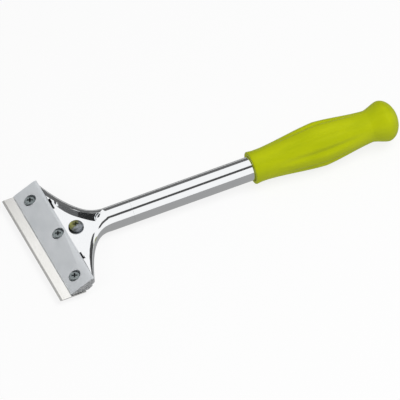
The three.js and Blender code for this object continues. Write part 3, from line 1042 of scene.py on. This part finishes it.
def seenDirectly(tree):               # 1 for camera, glossy and transmission rays
    path = addNode(tree, "LightPath", {}).outputs
    sockets = {0: path["Is Camera Ray"], 1: path["Is Glossy Ray"]}
    either = addNode(tree, "Math", sockets, operation="MAXIMUM").outputs["Value"]
    sockets = {0: either, 1: path["Is Transmission Ray"]}
    return addNode(tree, "Math", sockets, operation="MAXIMUM").outputs["Value"]


# Floor: pale, seen as white, with a soft share of the tool's shadow
floorStage = {
    "size": 6,                        # in metres, as is the next
    "below": 0.0004,
    "pale": 0.9,
    "shadowShare": 0.16,
}


def makeFloor():
    clearSelection()
    bpy.ops.mesh.primitive_plane_add(size=floorStage["size"], location=(0, 0, -floorStage["below"]))
    floor = bpy.context.object
    floor.name = "floor"
    finish = bpy.data.materials.new("floorPale")
    finish.use_nodes = True
    tree = finish.node_tree
    tree.nodes.clear()
    pale = addNode(tree, "BsdfDiffuse", {"Color": [floorStage["pale"]] * 3 + [1]}).outputs["BSDF"]
    white = addNode(tree, "Emission", {"Color": [1, 1, 1, 1], "Strength": 1.0}).outputs["Emission"]
    sockets = {"Fac": floorStage["shadowShare"], 1: white, 2: pale}
    backdrop = addNode(tree, "MixShader", sockets).outputs["Shader"]
    chosen = addNode(tree, "MixShader", {"Fac": seenDirectly(tree), 1: pale, 2: backdrop})
    addNode(tree, "OutputMaterial", {"Surface": chosen.outputs["Shader"]})
    floor.data.materials.append(finish)


makeFloor()


# Studio: white surroundings, a soft light overhead, and dark cards that only the metal mirrors
studio = {
    "fill": 0.34,
    "softLight": {"place": (0.5, -0.45, 1.25), "size": 1.1, "power": 13.6},
    "sideLight": {"place": (-1.1, -0.5, 0.8), "size": 0.8, "power": 3.5},
}


def makeWorld():
    world = bpy.data.worlds.new("studio")
    world.use_nodes = True
    tree = world.node_tree
    tree.nodes.clear()
    white = addNode(tree, "Background", {"Color": [1, 1, 1, 1], "Strength": 1.0}).outputs["Background"]
    fill = addNode(tree, "Background", {"Color": [1, 1, 1, 1], "Strength": studio["fill"]})
    sockets = {"Fac": seenDirectly(tree), 1: fill.outputs["Background"], 2: white}
    chosen = addNode(tree, "MixShader", sockets)
    addNode(tree, "OutputWorld", {"Surface": chosen.outputs["Shader"]})
    bpy.context.scene.world = world


def makeLamp(name, place, size, power):
    data = bpy.data.lights.new(name, "AREA")
    data.shape = "DISK"
    data.size = size
    data.energy = power
    lamp = bpy.data.objects.new(name, data)
    lamp.location = place
    lamp.rotation_euler = (-Vector(place)).to_track_quat("-Z", "Y").to_euler()
    lamp.visible_glossy = False
    bpy.context.scene.collection.objects.link(lamp)


makeWorld()
makeLamp("softLight", **studio["softLight"])
makeLamp("sideLight", **studio["sideLight"])

# Cards by their angle round the shaft, 0 overhead and positive to the near side, and their reach
# along it, all in mm along the tool
cards = {
    "cardFar": {"start": -88, "end": -46.5, "distance": 700, "front": 120, "rear": 1300, "grey": 0.14},
    "cardOverhead": {"start": 18, "end": 38, "distance": 900, "front": -300, "rear": 1300, "grey": 0.08},
}


def makeCard(name, start, end, distance, front, rear, grey):
    middle = math.radians((start + end) / 2)
    width = 2 * distance * math.tan(math.radians(end - start) / 2)
    outward = Vector((0, -math.sin(middle), math.cos(middle)))
    place = Vector(((front + rear) / 2, 0, 0)) + outward * distance
    turn = toolTurn.to_4x4() @ Matrix.Rotation(middle, 4, "X")
    size = Vector((rear - front, width, 1)) * millimetre
    addCard(name, Matrix.Translation(toFrame @ place) @ turn @ Matrix.Diagonal(size).to_4x4(), grey)


def addCard(name, place, grey):
    clearSelection()
    bpy.ops.mesh.primitive_plane_add(size=1)
    card = bpy.context.object
    card.name = name
    card.matrix_world = place
    finish = bpy.data.materials.new(name)
    finish.use_nodes = True
    tree = finish.node_tree
    tree.nodes.clear()
    glow = addNode(tree, "Emission", {"Color": [1, 1, 1, 1], "Strength": grey}).outputs["Emission"]
    addNode(tree, "OutputMaterial", {"Surface": glow})
    card.data.materials.append(finish)
    card.visible_camera = False
    card.visible_diffuse = False
    card.visible_shadow = False
    card.visible_transmission = False


for cardName, card in cards.items():
    makeCard(cardName, **card)

# Upright cards by their middle, width and height along the tool, facing it
sideCards = {
    "cardRight": {"middle": (1300, 425, 560), "width": 450, "height": 1080, "grey": 0.07},
    "cardLeft": {"middle": (-560, -520, 130), "width": 900, "height": 220, "grey": 0.04},
    "cardNearUpper": {"middle": (-20, -560, 560), "width": 400, "height": 400, "grey": 0.02},
    "cardLeftUpper": {"middle": (-428, -362, 560), "width": 700, "height": 400, "grey": 0.03},
    "cardFarLeft": {"middle": (-310, 410, 300), "width": 300, "height": 260, "grey": 0.03},
    "cardEndUpper": {"middle": (-560, 80, 560), "width": 390, "height": 400, "grey": 0.13},
}


def makeSideCard(name, middle, width, height, grey):
    inward = Vector((-middle[0], -middle[1], 0)).normalized()
    upright = Vector((0, 0, 1))
    turn = toolTurn @ Matrix((upright.cross(inward), upright, inward)).transposed()
    size = Vector((width, height, 1)) * millimetre
    place = Matrix.Translation(toFrame @ Vector(middle)) @ turn.to_4x4()
    addCard(name, place @ Matrix.Diagonal(size).to_4x4(), grey)


for cardName, card in sideCards.items():
    makeSideCard(cardName, **card)

# A grey sheet under the tool, seen only in reflections: painted shade standing for the shaded floor, in
# metres
shadedFloorCard = {
    "size": (1, 1, 1),
    "below": 0.0002,
    "grey": 0.36,
}
shadedFloorSize = Matrix.Diagonal(shadedFloorCard["size"]).to_4x4()
shadedFloorPlace = Matrix.Translation((0, 0, -shadedFloorCard["below"])) @ shadedFloorSize
addCard("shadedFloorCard", shadedFloorPlace, shadedFloorCard["grey"])

bpy.context.scene.view_settings.view_transform = "Standard"
print("studio ready")
